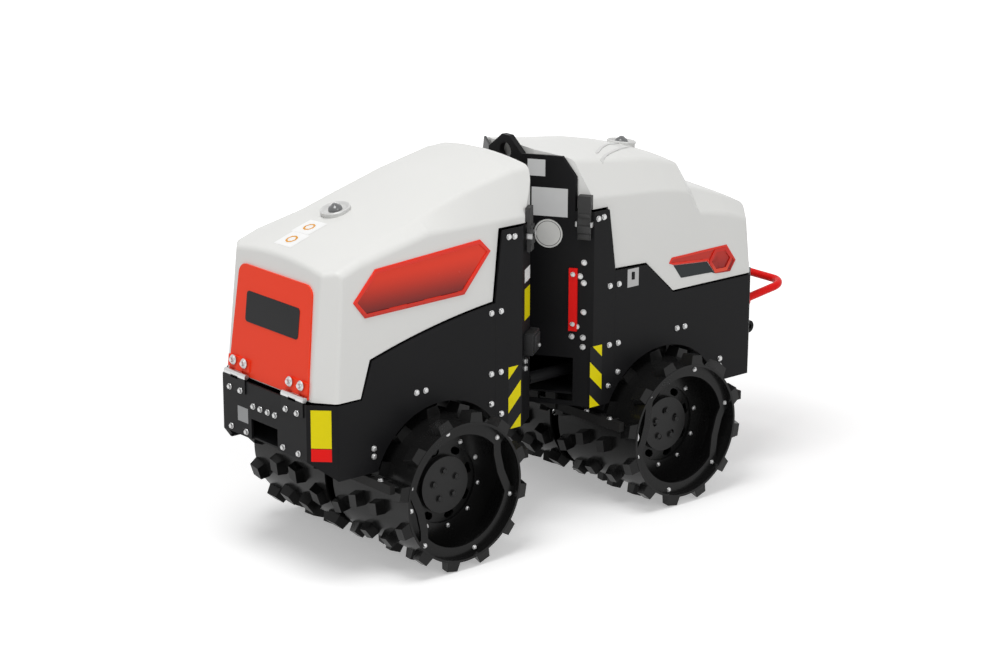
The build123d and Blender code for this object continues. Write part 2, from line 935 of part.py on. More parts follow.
# Heavy inner masses
engine_near = 300
engine_far = 640
engine_width = 380
engine_top = 940
tank_near = 320
tank_far = 640
tank_width = 400
tank_top = 900
save(block(rear, engine_near, engine_far, engine_width, engine_top), "engine")
save(block(front, tank_near, tank_far, tank_width, tank_top), "hydraulic_tank")

# Steering joint: a yoke on the rear module holds the lug of the front one on an upright pin
with BuildPart() as yoke:
    with BuildSketch(lengthwise(rear)):
        with Locations((joint_back, (joint_low + joint_high) / 2)):
            Rectangle(joint_back + joint_round, joint_high - joint_low, align=(Align.MAX, Align.CENTER))
        with Locations((throat_back, (joint_low + joint_high) / 2)):
            Rectangle(
                throat_back + 2 * joint_round,
                joint_high - joint_low - 2 * joint_plate,
                align=(Align.MAX, Align.CENTER),
                mode=Mode.SUBTRACT,
            )
    extrude(amount=joint_half, both=True)
    with BuildSketch(level(rear, joint_low)):
        Circle(joint_round)
        with Locations((joint_back, 0)):
            near = rear_corner[0][0]
            Rectangle(joint_back - near, 2 * joint_half, align=(Align.MAX, Align.CENTER))
        make_hull()
    extrude(amount=joint_high - joint_low, mode=Mode.INTERSECT)
    with BuildSketch(level(rear, joint_low - pin_stand)):
        Circle(pin_radius)
    extrude(amount=joint_high - joint_low + 2 * pin_stand)
save(yoke, "steering_yoke")

with BuildPart() as lug:
    low = joint_low + joint_plate + thrust_gap
    with BuildSketch(level(front, low)):
        Circle(lug_round)
        with Locations((front_corner[0][0] - seam, 0)):
            Rectangle(plate, 2 * joint_half - 2 * running_gap, align=(Align.MAX, Align.CENTER))
        make_hull()
        Circle(pin_radius + pin_play, mode=Mode.SUBTRACT)
    extrude(amount=joint_high - joint_plate - thrust_gap - low)
save(lug, "steering_lug")


def cylinder_plane():
    return Plane(origin=(pivot_x, steer_y, steer_z), x_dir=(1, 0, 0), z_dir=(0, -1, 0))


def eye(x):
    """An eye of the steering cylinder, upright."""
    with BuildSketch(Plane(origin=(pivot_x + x, steer_y, steer_z))) as boss:
        Circle(eye_radius)
    extrude(boss.sketch, amount=eye_height / 2, both=True)
    with BuildSketch(Plane(origin=(pivot_x + x, steer_y, steer_z))) as hole:
        Circle(eye_bore)
    extrude(hole.sketch, amount=eye_height, both=True, mode=Mode.SUBTRACT)


cylinder_axis = Axis((pivot_x, steer_y, steer_z), (1, 0, 0))
barrel_back = -barrel_reach + eye_radius
piston_x = -99
piston_half = 8
barrel_end = 13
with BuildPart() as barrel:
    with BuildSketch(cylinder_plane()):
        with BuildLine():
            Polyline(
                (barrel_back - eye_sink, 0),
                (barrel_back - eye_sink, barrel_radius),
                (barrel_front, barrel_radius),
                (barrel_front, rod_radius + pin_play),
                (barrel_front - gland, rod_radius + pin_play),
                (barrel_front - gland, barrel_bore),
                (barrel_back + barrel_end, barrel_bore),
                (barrel_back + barrel_end, 0),
                close=True,
            )
        make_face()
    revolve(axis=cylinder_axis)
    eye(-barrel_reach)
save(barrel, "steering_barrel")

with BuildPart() as rod:
    with BuildSketch(cylinder_plane()):
        with BuildLine():
            Polyline(
                (piston_x - piston_half, 0),
                (piston_x - piston_half, barrel_bore - pin_play),
                (piston_x + piston_half, barrel_bore - pin_play),
                (piston_x + piston_half, rod_radius),
                (rod_reach - eye_radius + eye_sink, rod_radius),
                (rod_reach - eye_radius + eye_sink, 0),
                close=True,
            )
        make_face()
    revolve(axis=cylinder_axis)
    eye(rod_reach)
save(rod, "steering_rod")

# Seats of the cylinder: a pin on the rear floor, an open clevis on the front one
seat_low = floor_z + belly_plate + seam
with BuildPart() as barrel_seat:
    with BuildSketch(Plane(origin=(pivot_x - barrel_reach, steer_y, seat_low))):
        Rectangle(seat_width, seat_length)
    extrude(amount=steer_z - eye_height / 2 - seam - seat_low)
    with BuildSketch(Plane(origin=(pivot_x - barrel_reach, steer_y, seat_low))):
        Circle(eye_pin)
    extrude(amount=steer_z + eye_height / 2 + plate - seat_low)
save(barrel_seat, "barrel_seat")

with BuildPart() as rod_clevis:
    with BuildSketch(Plane(origin=(pivot_x, steer_y, 0), x_dir=(1, 0, 0), z_dir=(0, -1, 0))):
        with BuildLine():
            low_face = steer_z - eye_height / 2 - running_gap
            high_face = steer_z + eye_height / 2 + running_gap
            mouth = rod_reach - clevis_half
            Polyline(
                (mouth, seat_low),
                (rod_reach + clevis_back, seat_low),
                (rod_reach + clevis_back, high_face + clevis_plate),
                (mouth, high_face + clevis_plate),
                (mouth, high_face),
                (rod_reach + clevis_throat, high_face),
                (rod_reach + clevis_throat, low_face),
                (mouth, low_face),
                close=True,
            )
        make_face()
    extrude(amount=clevis_half, both=True)
save(rod_clevis, "rod_clevis")

# Bar, lashing eyes and lock at the rear
with BuildPart() as handle_bar:
    with BuildLine() as route:
        FilletPolyline(
            (ahead(rear, end_reach + bar_foot / 2), bar_half, bar_root_z),
            (ahead(rear, bar_reach), bar_half, bar_top_z),
            (ahead(rear, bar_reach), -bar_half, bar_top_z),
            (ahead(rear, end_reach + bar_foot / 2), -bar_half, bar_root_z),
            radius=bar_bend,
        )
    with BuildSketch(Plane(origin=route.line @ 0, z_dir=route.line % 0)):
        Circle(bar_radius)
    sweep()
    with BuildSketch(across(rear, end_reach + seam)):
        with Locations((bar_half, bar_root_z), (-bar_half, bar_root_z)):
            Circle(2 * bar_radius)
    extrude(amount=-bar_foot)
save(handle_bar, "handle_bar")

with BuildPart() as lashing_eyes:
    for hand in (-1, 1):
        with BuildSketch(lengthwise(rear, hand * lash_y)):
            with Locations((end_reach + lash_stand, lash_z)):
                Circle(lash_radius)
                Circle(lash_hole, mode=Mode.SUBTRACT)
            with Locations((end_reach + seam, lash_z)):
                Rectangle(
                    2 * lash_radius, 2 * lash_radius, align=(Align.MAX, Align.CENTER), mode=Mode.SUBTRACT
                )
        extrude(amount=lash_plate / 2, both=True)
save(lashing_eyes, "lashing_eyes")

with BuildPart() as lock_bar:
    with BuildSketch(corner_wall(rear, rear_corner, 0).offset(seam)):
        with Locations((lock_along, lock_low)):
            Rectangle(lock_width, lock_height, align=(Align.CENTER, Align.MIN))
    extrude(amount=lock_plate)
save(lock_bar, "lock_bar")
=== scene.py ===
import json
from math import cos, radians, sin
import bmesh
import bpy
from mathutils import Matrix, Vector
from mathutils.bvhtree import BVHTree


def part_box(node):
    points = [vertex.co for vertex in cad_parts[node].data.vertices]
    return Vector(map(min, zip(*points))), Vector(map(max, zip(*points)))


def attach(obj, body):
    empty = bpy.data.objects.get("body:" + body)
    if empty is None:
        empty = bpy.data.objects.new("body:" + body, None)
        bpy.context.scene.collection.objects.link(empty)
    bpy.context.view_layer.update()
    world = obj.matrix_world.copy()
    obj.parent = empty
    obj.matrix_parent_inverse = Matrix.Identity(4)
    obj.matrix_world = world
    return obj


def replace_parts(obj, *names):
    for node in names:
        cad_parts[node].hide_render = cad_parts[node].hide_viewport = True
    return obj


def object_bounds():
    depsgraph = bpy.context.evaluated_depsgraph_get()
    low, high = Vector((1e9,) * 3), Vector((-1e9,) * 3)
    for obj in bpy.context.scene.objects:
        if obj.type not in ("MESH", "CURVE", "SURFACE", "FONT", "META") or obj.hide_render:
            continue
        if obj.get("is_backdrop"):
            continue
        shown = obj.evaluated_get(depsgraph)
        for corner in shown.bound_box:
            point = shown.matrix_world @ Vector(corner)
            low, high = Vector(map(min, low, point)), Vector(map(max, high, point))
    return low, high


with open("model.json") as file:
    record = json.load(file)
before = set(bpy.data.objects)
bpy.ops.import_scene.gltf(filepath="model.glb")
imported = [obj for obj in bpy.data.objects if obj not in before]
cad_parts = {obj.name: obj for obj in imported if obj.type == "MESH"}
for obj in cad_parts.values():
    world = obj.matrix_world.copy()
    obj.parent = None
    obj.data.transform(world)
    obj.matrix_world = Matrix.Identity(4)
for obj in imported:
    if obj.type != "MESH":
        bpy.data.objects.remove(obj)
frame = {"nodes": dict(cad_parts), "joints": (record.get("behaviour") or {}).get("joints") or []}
cad_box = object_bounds()


# The tubs: side plates, folded bulkheads, end plates and floors of both modules. They are steel
# plate, welded and bolted, with a fine-grained satin powder coat in charcoal black.
joints = {joint["name"]: joint for joint in frame["joints"]}
pivot = joints["steering"]["pos_m"][0]
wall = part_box("front_side_left")[1].y
ends = {"front": 1, "rear": -1}
charcoal_tones = (0.0065, 0.0065, 0.0072, 1), (0.0105, 0.0105, 0.0112, 1)


class Wire:
    """A shader socket that takes part in plain Python sums."""

    def __init__(self, finish, socket):
        self.finish = finish
        self.socket = socket

    def maths(self, operation, *values):
        return self.finish.node("ShaderNodeMath", {"operation": operation}, list(values))

    def __add__(self, other):
        return self.maths("ADD", self, other)

    def __radd__(self, other):
        return self.maths("ADD", other, self)

    def __sub__(self, other):
        return self.maths("SUBTRACT", self, other)

    def __rsub__(self, other):
        return self.maths("SUBTRACT", other, self)

    def __mul__(self, other):
        return self.maths("MULTIPLY", self, other)

    def __rmul__(self, other):
        return self.maths("MULTIPLY", other, self)

    def __lt__(self, other):
        return self.maths("LESS_THAN", self, other)

    def greater(self, other):
        return self.maths("MAXIMUM", self, other)

    def root(self):
        return self.maths("SQRT", self)

    def remainder(self):
        return self.maths("FRACT", self)

    def within(self, low, high):
        """1 above high, 0 below low, and smooth between them."""
        return self.finish.node(
            "ShaderNodeMapRange", {"interpolation_type": "SMOOTHSTEP"}, [self, low, high, 0.0, 1.0]
        )


class Finish:
    """The shader tree of a new material, or of the owner that is given."""

    def __init__(self, name, owner=None):
        self.owner = owner or bpy.data.materials.new(name)
        self.owner.use_nodes = True
        self.tree = self.owner.node_tree
        self.tree.nodes.clear()

    def node(self, kind, settings, inputs, output=0):
        made = self.tree.nodes.new(kind)
        for key, value in settings.items():
            setattr(made, key, value)
        pairs = inputs.items() if isinstance(inputs, dict) else enumerate(inputs)
        for key, value in pairs:
            if isinstance(value, Wire):
                self.tree.links.new(value.socket, made.inputs[key])
            else:
                made.inputs[key].default_value = value
        return Wire(self, made.outputs[output])

    def place(self):
        return self.node("ShaderNodeTexCoord", {}, {}, "Object")

    def along(self, axis):
        return self.node("ShaderNodeSeparateXYZ", {}, [self.place()], axis)

    def distance(self, **centre):
        """How far the surface is from a point, or from a line along the axis that isn't named."""
        gaps = [self.along(axis) - value for axis, value in centre.items()]
        return sum(gap * gap for gap in gaps).root()

    def rays(self, kind):
        return self.node("ShaderNodeLightPath", {}, {}, kind)

    def noise(self, scale, detail=2.0):
        return self.node("ShaderNodeTexNoise", {}, {"Vector": self.place(), "Scale": scale, "Detail": detail})

    def mix(self, factor, low, high):
        return self.node("ShaderNodeMix", {"data_type": "RGBA"}, {0: factor, 6: low, 7: high}, 2)

    def bump(self, height, distance):
        return self.node("ShaderNodeBump", {}, {"Distance": distance, "Height": height})

    def surface(self, shader, kind):
        output = self.tree.nodes.new(kind)
        self.tree.links.new(shader.socket, output.inputs["Surface"])
        return self.owner

    def done(self, **sockets):
        named = {key.replace("_", " "): value for key, value in sockets.items()}
        return self.surface(self.node("ShaderNodeBsdfPrincipled", {}, named), "ShaderNodeOutputMaterial")


def powder_coat(name, low, high, roughness, grain, shine=0.10):
    """Baked powder paint: a fine orange peel, with faint clouds in its tone and its sheen."""
    finish = Finish(name)
    clouds = finish.noise(5.0, 4.0)
    peel = finish.noise(grain)
    return finish.done(
        Base_Color=finish.mix(clouds, low, high),
        Roughness=roughness + 0.12 * (clouds - 0.5) + 0.05 * (peel - 0.5),
        Normal=finish.bump(peel, 0.00012),
        Specular_IOR_Level=shine,
    )


def coat(material, *nodes):
    for node in nodes:
        for slot in frame["nodes"][node].material_slots:
            slot.material = material


charcoal = powder_coat("charcoal_powder", *charcoal_tones, 0.42, 420.0)
for end in ends:
    coat(charcoal, f"{end}_bulkhead", f"{end}_side_left", f"{end}_side_right", f"{end}_end_plate")
    coat(charcoal, f"{end}_belly")
coat(charcoal, "lifting_lug", "lashing_eyes", "steering_yoke", "steering_lug", "rod_clevis", "barrel_seat")


# Bolts of the tubs: flanged hexagon heads, zinc plated, about 14 mm across the flats. They hold the
# side plates to the folded bulkheads and end plates, and stand in the same places on both modules.
hexagon, small_hexagon = 0.0079, 0.0065
hands = {"left": 1, "right": -1}
upward = Vector((0, 0, 1))
# Steps of a head in shares of its size, as (sides, foot radius, top radius, foot, top)
head_steps = [(24, 1.30, 1.22, 0.0, 0.22), (6, 1.0, 1.0, 0.22, 0.75), (6, 1.0, 0.78, 0.75, 0.88)]
# Places on a side, as (reach from the pivot, height)
side_bolts = [
    (0.274, 0.784), (0.234, 0.784), (0.274, 0.582), (0.234, 0.582), (0.274, 0.482), (0.232, 0.441),
    (0.543, 0.582), (0.579, 0.582), (0.749, 0.435), (0.749, 0.409), (0.203, 1.022), (0.179, 1.020),
]
# Places on an end plate, as (half width, height)
end_bolts = [(0.179, 0.434), (0.098, 0.434), (0.058, 0.528), (0.020, 0.528)]
end_x = {end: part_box(f"{end}_end_plate")[side > 0].x for end, side in ends.items()}
# The slanting wings of the rear bulkhead run from near the pivot to the sides, as (reach, half width)
wing_near, wing_far = (0.027, 0.084), (0.162, 0.290)
wing_out = Vector((wing_far[1] - wing_near[1], wing_far[0] - wing_near[0], 0)).normalized()
# Places on the wings and on the front bulkhead's face, as (reach, half width, height)
wing_bolts = [
    (0.144, 0.262, 0.873), (0.144, 0.262, 0.804), (0.144, 0.262, 0.705), (0.131, 0.243, 0.654),
    (0.122, 0.229, 0.619), (0.143, 0.261, 0.618), (0.143, 0.261, 0.586), (0.137, 0.251, 0.826),
]
chamfer_bolts = [(0.064, 0.219, 0.578), (0.064, 0.197, 0.556)]
# Places on the bar that locks the pivot
lock_bolts = [(-0.0070, 0.2385, 0.833), (-0.0070, 0.2385, 0.664)]


def grey(tone):
    return (tone, tone, tone, 1)


def zinc(name, tone):
    finish = Finish(name)
    clouds = finish.noise(60.0, 3.0)
    scratches = finish.noise(900.0, 2.0)
    return finish.done(
        Base_Color=finish.mix(clouds, grey(0.86 * tone), grey(tone)),
        Metallic=1.0,
        Roughness=0.30 + 0.14 * (clouds - 0.5) + 0.10 * (scratches - 0.5),
    )


def piece(name, mesh, material, body, sharp=30):
    """Makes an object of a bmesh and hands it to the body that it rides on."""
    data = bpy.data.meshes.new(name)
    mesh.to_mesh(data)
    mesh.free()
    data.shade_smooth()
    data.set_sharp_from_angle(angle=radians(sharp))
    data.materials.append(material)
    thing = bpy.data.objects.new(name, data)
    bpy.context.scene.collection.objects.link(thing)
    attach(thing, body)
    return thing


def turned_to(out):
    return upward.rotation_difference(Vector(out)).to_matrix().to_4x4()


def bolt_heads(mesh, places, out, size=hexagon):
    """Flanged heads at the places, all facing the same way."""
    for place in places:
        seat = Matrix.Translation(place) @ turned_to(out)
        for sides, foot, top, low, high in head_steps:
            centre = seat @ Matrix.Translation((0, 0, (low + high) / 2 * size))
            bmesh.ops.create_cone(mesh, cap_ends=True, segments=sides, radius1=foot * size,
                                  radius2=top * size, depth=(high - low) * size, matrix=centre)


bright = zinc("zinc_plate", 0.58)
for end, side in ends.items():
    heads = bmesh.new()
    for hand in hands.values():
        places = [(pivot + side * reach, hand * wall, z) for reach, z in side_bolts]
        bolt_heads(heads, places, (0, hand, 0))
        bolt_heads(heads, [(end_x[end], hand * y, z) for y, z in end_bolts], (side, 0, 0))
    piece(f"{end}_tub_bolts", heads, bright, f"{end}_module")
heads = bmesh.new()
for hand in hands.values():
    places = [(pivot - reach, hand * y, z) for reach, y, z in wing_bolts]
    bolt_heads(heads, places, (wing_out.x, hand * wing_out.y, 0))
bolt_heads(heads, lock_bolts, wing_out, small_hexagon)
piece("wing_bolts", heads, bright, "rear_module")
heads = bmesh.new()
for hand in hands.values():
    bolt_heads(heads, [(pivot + reach, hand * y, z) for reach, y, z in chamfer_bolts], (-1, 0, 0))
piece("chamfer_bolts", heads, bright, "front_module")


# Hazard stripes: vinyl strips in yellow and black on the side plates beside the pivot, on both
# sides of both modules. The bands climb towards the pivot.
stripe_near, stripe_far = 0.150, 0.202
stripe_low, stripe_high = 0.381, 0.590
band_pitch, band_start, band_share = 0.114, -0.617, 0.456
vinyl, stripe_lift = 0.0006, 0.0001


def stripes(name, side):
    finish = Finish(name)
    reach = side * (finish.along("X") - pivot)
    bands = (finish.along("Z") + reach - band_start) * (1 / band_pitch)
    clouds = finish.noise(30.0, 3.0)
    dark = finish.mix(clouds, (0.008, 0.008, 0.009, 1), (0.013, 0.013, 0.014, 1))
    yellow = finish.mix(clouds, (0.82, 0.70, 0.002, 1), (0.90, 0.78, 0.004, 1))
    return finish.done(
        Base_Color=finish.mix(bands.remainder() < band_share, dark, yellow),
        Roughness=0.35 + 0.1 * (clouds - 0.5),
        Specular_IOR_Level=0.12,
    )


def raised(mesh, faces, way):
    """Extrudes faces along a vector and returns the corners that moved."""
    made = bmesh.ops.extrude_face_region(mesh, geom=faces)
    moved = [item for item in made["geom"] if isinstance(item, bmesh.types.BMVert)]
    bmesh.ops.translate(mesh, verts=moved, vec=way)
    return moved


def plate(mesh, corners, thick):
    """A thin plate behind the corners of its outward face, which are given the way round it."""
    face = mesh.faces.new([mesh.verts.new(corner) for corner in corners])
    mesh.normal_update()
    raised(mesh, [face], -thick * face.normal)
    bmesh.ops.recalc_face_normals(mesh, faces=mesh.faces)


def film(mesh, start, stop, low, high, lift, thick=vinyl):
    """An upright plate that faces to the right of the way from start to stop, both (x, y).

    Its outward face stands off the wall by the lift, and its thickness goes inwards.
    """
    start, stop = Vector((*start, 0)), Vector((*stop, 0))
    out = (stop - start).cross(upward).normalized()
    corners = ((start, low), (stop, low), (stop, high), (start, high))
    plate(mesh, [foot + z * upward + lift * out for foot, z in corners], thick)


def side_film(mesh, hand, reaches, low, high, lift, thick=vinyl):
    """An upright plate on a side of the machine, between two distances from the pivot."""
    start, stop = sorted((pivot + reach for reach in reaches), reverse=hand > 0)
    film(mesh, (start, hand * wall), (stop, hand * wall), low, high, lift, thick)


for end, side in ends.items():
    strips = bmesh.new()
    reaches = (side * stripe_near, side * stripe_far)
    for hand in hands.values():
        side_film(strips, hand, reaches, stripe_low, stripe_high, stripe_lift)
    piece(f"{end}_stripes", strips, stripes(f"{end}_stripe_vinyl", side), f"{end}_module")


# Axle carriers and scrapers: welded steel between the drums, and bolted, toothed bars that clean the
# rows of pads. They have the same powder coat as the tubs, a little more worn.
worn = powder_coat("worn_powder", (0.009, 0.009, 0.009, 1), (0.019, 0.0185, 0.018, 1), 0.50, 300.0)
scraper_bolt_y = (0.110, 0.213, 0.325)
scraper_bolt_shift, scraper_bolt_rise = 0.012, 0.0301
for end, side in ends.items():
    coat(worn, f"{end}_carrier", f"{end}_scraper_inner", f"{end}_scraper_outer")
    heads = bmesh.new()
    for where, way in (("inner", -side), ("outer", side)):
        low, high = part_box(f"{end}_scraper_{where}")
        middle = (low.x + high.x) / 2 + way * scraper_bolt_shift
        height = low.z + scraper_bolt_rise
        spots = [(middle, hand * y, height) for hand in hands.values() for y in scraper_bolt_y]
        bolt_heads(heads, spots, upward)
    piece(f"{end}_scraper_bolts", heads, bright, f"{end}_module")


# Drums: rolled and welded steel shells with pads, a bolted extension ring and a cast hub disc.
# Everything is painted semi-gloss black with the hub's nuts, and the other bolts are zinc plated.
drum_black = powder_coat("drum_paint", grey(0.006), grey(0.011), 0.25, 160.0, 0.20)
# The hubs and their nuts get a lighter black than the drums, which paints sheen on them: the light they catch
# is partly in their colour
hub_black_painted_sheen = powder_coat("hub_paint", grey(0.014), grey(0.021), 0.38, 160.0, 0.24)
axle_z = joints["front_left_roll"]["pos_m"][2]
# Rings of bolts, as (radius, count, turn of the first one on each module)
flange_ring = (0.209, 6, {"front": 15, "rear": 45})
web_ring = (0.145, 10, {"front": 10.7, "rear": 26})
nut_ring = (0.048, 5, {"front": 12, "rear": 168})
flange_inset, web_plate, hub_nut = 0.022, 0.0083, 0.0098


def bolt_ring(mesh, end, hand, y, ring, size):
    """Bolts round a drum's axle, y from the machine's middle."""
    radius, count, first = ring
    centre = joints[f"{end}_left_roll"]["pos_m"][0]
    turns = [radians(first[end] + i * 360 / count) for i in range(count)]
    places = [(centre + radius * cos(turn), hand * y, axle_z + radius * sin(turn)) for turn in turns]
    bolt_heads(mesh, places, (0, hand, 0), size)


for end in ends:
    for word, hand in hands.items():
        coat(drum_black, f"{end}_drum_{word}", f"{end}_drum_ring_{word}")
        coat(hub_black_painted_sheen, f"{end}_hub_{word}")
        inner, outer = sorted(abs(corner.y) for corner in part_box(f"{end}_drum_ring_{word}"))
        hub_face = max(abs(corner.y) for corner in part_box(f"{end}_hub_{word}"))
        heads, nuts = bmesh.new(), bmesh.new()
        bolt_ring(heads, end, hand, outer - flange_inset, flange_ring, small_hexagon)
        bolt_ring(heads, end, hand, inner + web_plate, web_ring, small_hexagon)
        bolt_ring(nuts, end, hand, hub_face, nut_ring, hub_nut)
        piece(f"{end}_{word}_drum_bolts", heads, bright, f"{end}_{word}_drum")
        piece(f"{end}_{word}_hub_bolts", nuts, hub_black_painted_sheen, f"{end}_{word}_drum")


# Hoods: one-piece covers of off-white moulded plastic with a soft gloss. They tilt on hinges at the
# machine's ends.
def moulded(name, low, high, roughness, shine=0.30):
    finish = Finish(name)
    clouds = finish.noise(3.0, 3.0)
    peel = finish.noise(240.0, 1.0)
    return finish.done(
        Base_Color=finish.mix(clouds, low, high),
        Roughness=roughness + 0.06 * (clouds - 0.5),
        Coat_Weight=0.5 * shine,
        Coat_Roughness=0.12,
        Specular_IOR_Level=shine,
        Normal=finish.bump(peel, 0.00008),
    )


off_white = moulded("hood_plastic", (0.76, 0.76, 0.74, 1), (0.80, 0.80, 0.78, 1), 0.38)
coat(off_white, "front_hood", "rear_hood")


# Side badges of the front hood: six-sided, thermoformed, glossy red with a raised bright border
# and a darker sunk field. They are stuck to the hood and follow its surface.
front_outline = [
    (0.269, 0.986), (0.311, 1.029), (0.728, 1.004), (0.815, 0.912), (0.772, 0.857), (0.380, 0.863)
]
# A badge is cut into upright parts so that it can follow the hood
badge_parts, badge_ease, badge_lift = 8, 0.6, 0.0004


def gloss(name, low, high, turn):
    """Glossy film whose tone runs from the bottom to the top of the badge."""
    finish = Finish(name)
    height = finish.along("Z").within(*turn)
    clouds = finish.noise(40.0, 2.0)
    return finish.done(
        Base_Color=finish.mix(height, low, high),
        Roughness=0.26 + 0.06 * (clouds - 0.5),
        Coat_Weight=0.12,
        Specular_IOR_Level=0.20,
    )


def lay(mesh, node, towards, lift):
    """Drops each vertex of a mesh along a direction until it lies just above a node's surface."""
    tree = BVHTree.FromObject(frame["nodes"][node], bpy.context.evaluated_depsgraph_get())
    towards = Vector(towards)
    for vertex in mesh.verts:
        hit = tree.ray_cast(vertex.co - 0.5 * towards, towards)[0]
        if hit:
            vertex.co = hit - lift * towards


def badge(name, end, outline, field, rim, border, rise):
    """Badges on both sides of a hood, the border raised and the field sunk, laid on the surface."""
    for word, hand in hands.items():
        mesh = bmesh.new()
        corners = [mesh.verts.new((pivot + ends[end] * reach, hand, z)) for reach, z in outline]
        low, high = min(corner.co.x for corner in corners), max(corner.co.x for corner in corners)
        face = mesh.faces.new(corners)
        mesh.normal_update()
        if face.normal.y * hand < 0:
            face.normal_flip()
        bmesh.ops.inset_individual(mesh, faces=[face], thickness=border)
        for item in mesh.faces:
            item.material_index = 0 if item is face else 1
        for i in range(1, badge_parts):
            cut = low + i * (high - low) / badge_parts
            bmesh.ops.bisect_plane(mesh, geom=mesh.verts[:] + mesh.edges[:] + mesh.faces[:],
                                   plane_co=(cut, 0, 0), plane_no=(1, 0, 0))
        lay(mesh, f"{end}_hood", (0, -hand, 0), badge_lift)
        ring = [item for item in mesh.faces if item.material_index == 1]
        top = set(raised(mesh, ring, (0, hand * rise, 0)))
        bmesh.ops.delete(mesh, geom=ring, context="FACES_ONLY")
        rims = [edge for edge in mesh.edges if edge.is_valid and all(v in top for v in edge.verts)
                and len({round(f.normal.y, 1) for f in edge.link_faces}) > 1]
        bmesh.ops.bevel(mesh, geom=rims, offset=badge_ease * rise, offset_type="OFFSET", segments=2,
                        profile=0.5, affect="EDGES", material=-1, clamp_overlap=True)
        thing = piece(f"{name}_{word}", mesh, field, f"{end}_hood", 40)
        thing.data.materials.append(rim)


bright_red = gloss("badge_border", (0.62, 0.030, 0.016, 1), (0.86, 0.030, 0.012, 1), (0.85, 0.92))
deep_red = gloss("badge_field", (0.14, 0.005, 0.004, 1), (0.86, 0.040, 0.010, 1), (0.850, 0.995))
badge("front_badge", "front", front_outline, deep_red, bright_red, border=0.016, rise=0.0042)


# Side badges of the rear hood: a dark strip with a red band over it that ends in a six-sided ring.
# They are thermoformed like the front ones.
rear_outline = [
    (0.506, 0.812), (0.519, 0.830), (0.778, 0.832), (0.821, 0.772),
    (0.794, 0.736), (0.724, 0.740), (0.686, 0.789), (0.527, 0.803),
]
strip_outline = [(0.527, 0.802), (0.685, 0.788), (0.722, 0.741), (0.706, 0.747), (0.562, 0.753)]
boss_reach, boss_z, boss_wide, boss_tall = 0.749, 0.784, 0.056, 0.047
boss_turns = [radians(60 * i) for i in range(6)]
boss_outline = [(boss_reach + boss_wide * cos(turn), boss_z + boss_tall * sin(turn)) for turn in boss_turns]
rear_rim = gloss("rear_boss_rim", (0.84, 0.075, 0.030, 1), (0.66, 0.018, 0.008, 1), (0.74, 0.79))
rear_red = gloss("rear_badge_border", (0.42, 0.010, 0.006, 1), (0.80, 0.030, 0.012, 1), (0.74, 0.80))
rear_deep = gloss("rear_badge_field", (0.30, 0.008, 0.006, 1), (0.62, 0.024, 0.010, 1), (0.74, 0.83))
slate = powder_coat("slate_film", (0.030, 0.036, 0.038, 1), (0.040, 0.046, 0.048, 1), 0.32, 300.0)
badge("rear_badge", "rear", rear_outline, rear_deep, rear_red, border=0.009, rise=0.0020)
badge("rear_strip", "rear", strip_outline, slate, slate, border=0.002, rise=0.0004)
badge("rear_boss", "rear", boss_outline, rear_deep, rear_rim, border=0.013, rise=0.0034)


# Nose panels: flat covers of orange-red plastic on the ends of the hoods, held by the hinge bolts.
# The front one has a plain dark badge with rounded corners in its upper half.
orange_tones = (0.93, 0.052, 0.016, 1), (0.98, 0.060, 0.020, 1)
orange = moulded("panel_plastic", *orange_tones, 0.40, 0.12)
coat(orange, "front_panel", "rear_panel")
nose_badge_z, nose_badge_half, nose_badge_tall = 0.833, 0.139, 0.049
nose_badge_round, nose_badge_thick, nose_badge_lift = 0.012, 0.0012, 0.0003
badge_black = powder_coat("badge_black", (0.016, 0.016, 0.017, 1), (0.023, 0.023, 0.024, 1), 0.30, 300.0)
mesh = bmesh.new()
bmesh.ops.create_grid(mesh, x_segments=1, y_segments=1, size=1.0)
bmesh.ops.scale(mesh, vec=(nose_badge_tall, nose_badge_half, 1), verts=mesh.verts)
bmesh.ops.bevel(mesh, geom=mesh.verts[:], offset=nose_badge_round, offset_type="OFFSET", segments=6,
                profile=0.5, affect="VERTICES", material=-1)
bmesh.ops.rotate(mesh, verts=mesh.verts, cent=(0, 0, 0), matrix=Matrix.Rotation(radians(-90), 3, "Y"))
bmesh.ops.translate(mesh, verts=mesh.verts, vec=(end_x["front"], 0, nose_badge_z))
lay(mesh, "front_panel", (-1, 0, 0), nose_badge_lift)
raised(mesh, mesh.faces[:], (nose_badge_thick, 0, 0))
bmesh.ops.recalc_face_normals(mesh, faces=mesh.faces)
piece("nose_badge", mesh, badge_black, "front_hood")


# Hood hinges: zinc-plated knuckles on a pin, two at the end of each hood. The fixed leaves are
# painted with the tub, the moving ones with the panel, and the moving ones' bolts have washers.
pin_reach = 0.0105
hinge_bolt_y = (0.121, 0.179)
leaf_drop, leaf_rise, leaf_lean, leaf_stand = 0.047, 0.039, 0.11, 0.004
washer_foot, washer_top, washer_thick = 0.0165, 0.0125, 0.004


def leaf_finish(name, low, high, axis):
    """Painted leaves, bare zinc round the pin."""
    finish = Finish(name)
    bare = finish.distance(X=axis[0], Z=axis[2]) < pin_reach
    clouds = finish.noise(50.0, 3.0)
    paint = finish.mix(clouds, low, high)
    metal = finish.mix(clouds, grey(0.56), grey(0.66))
    return finish.done(
        Base_Color=finish.mix(bare, paint, metal),
        Metallic=bare,
        Roughness=0.38 + 0.12 * (clouds - 0.5),
        Specular_IOR_Level=0.12,
    )


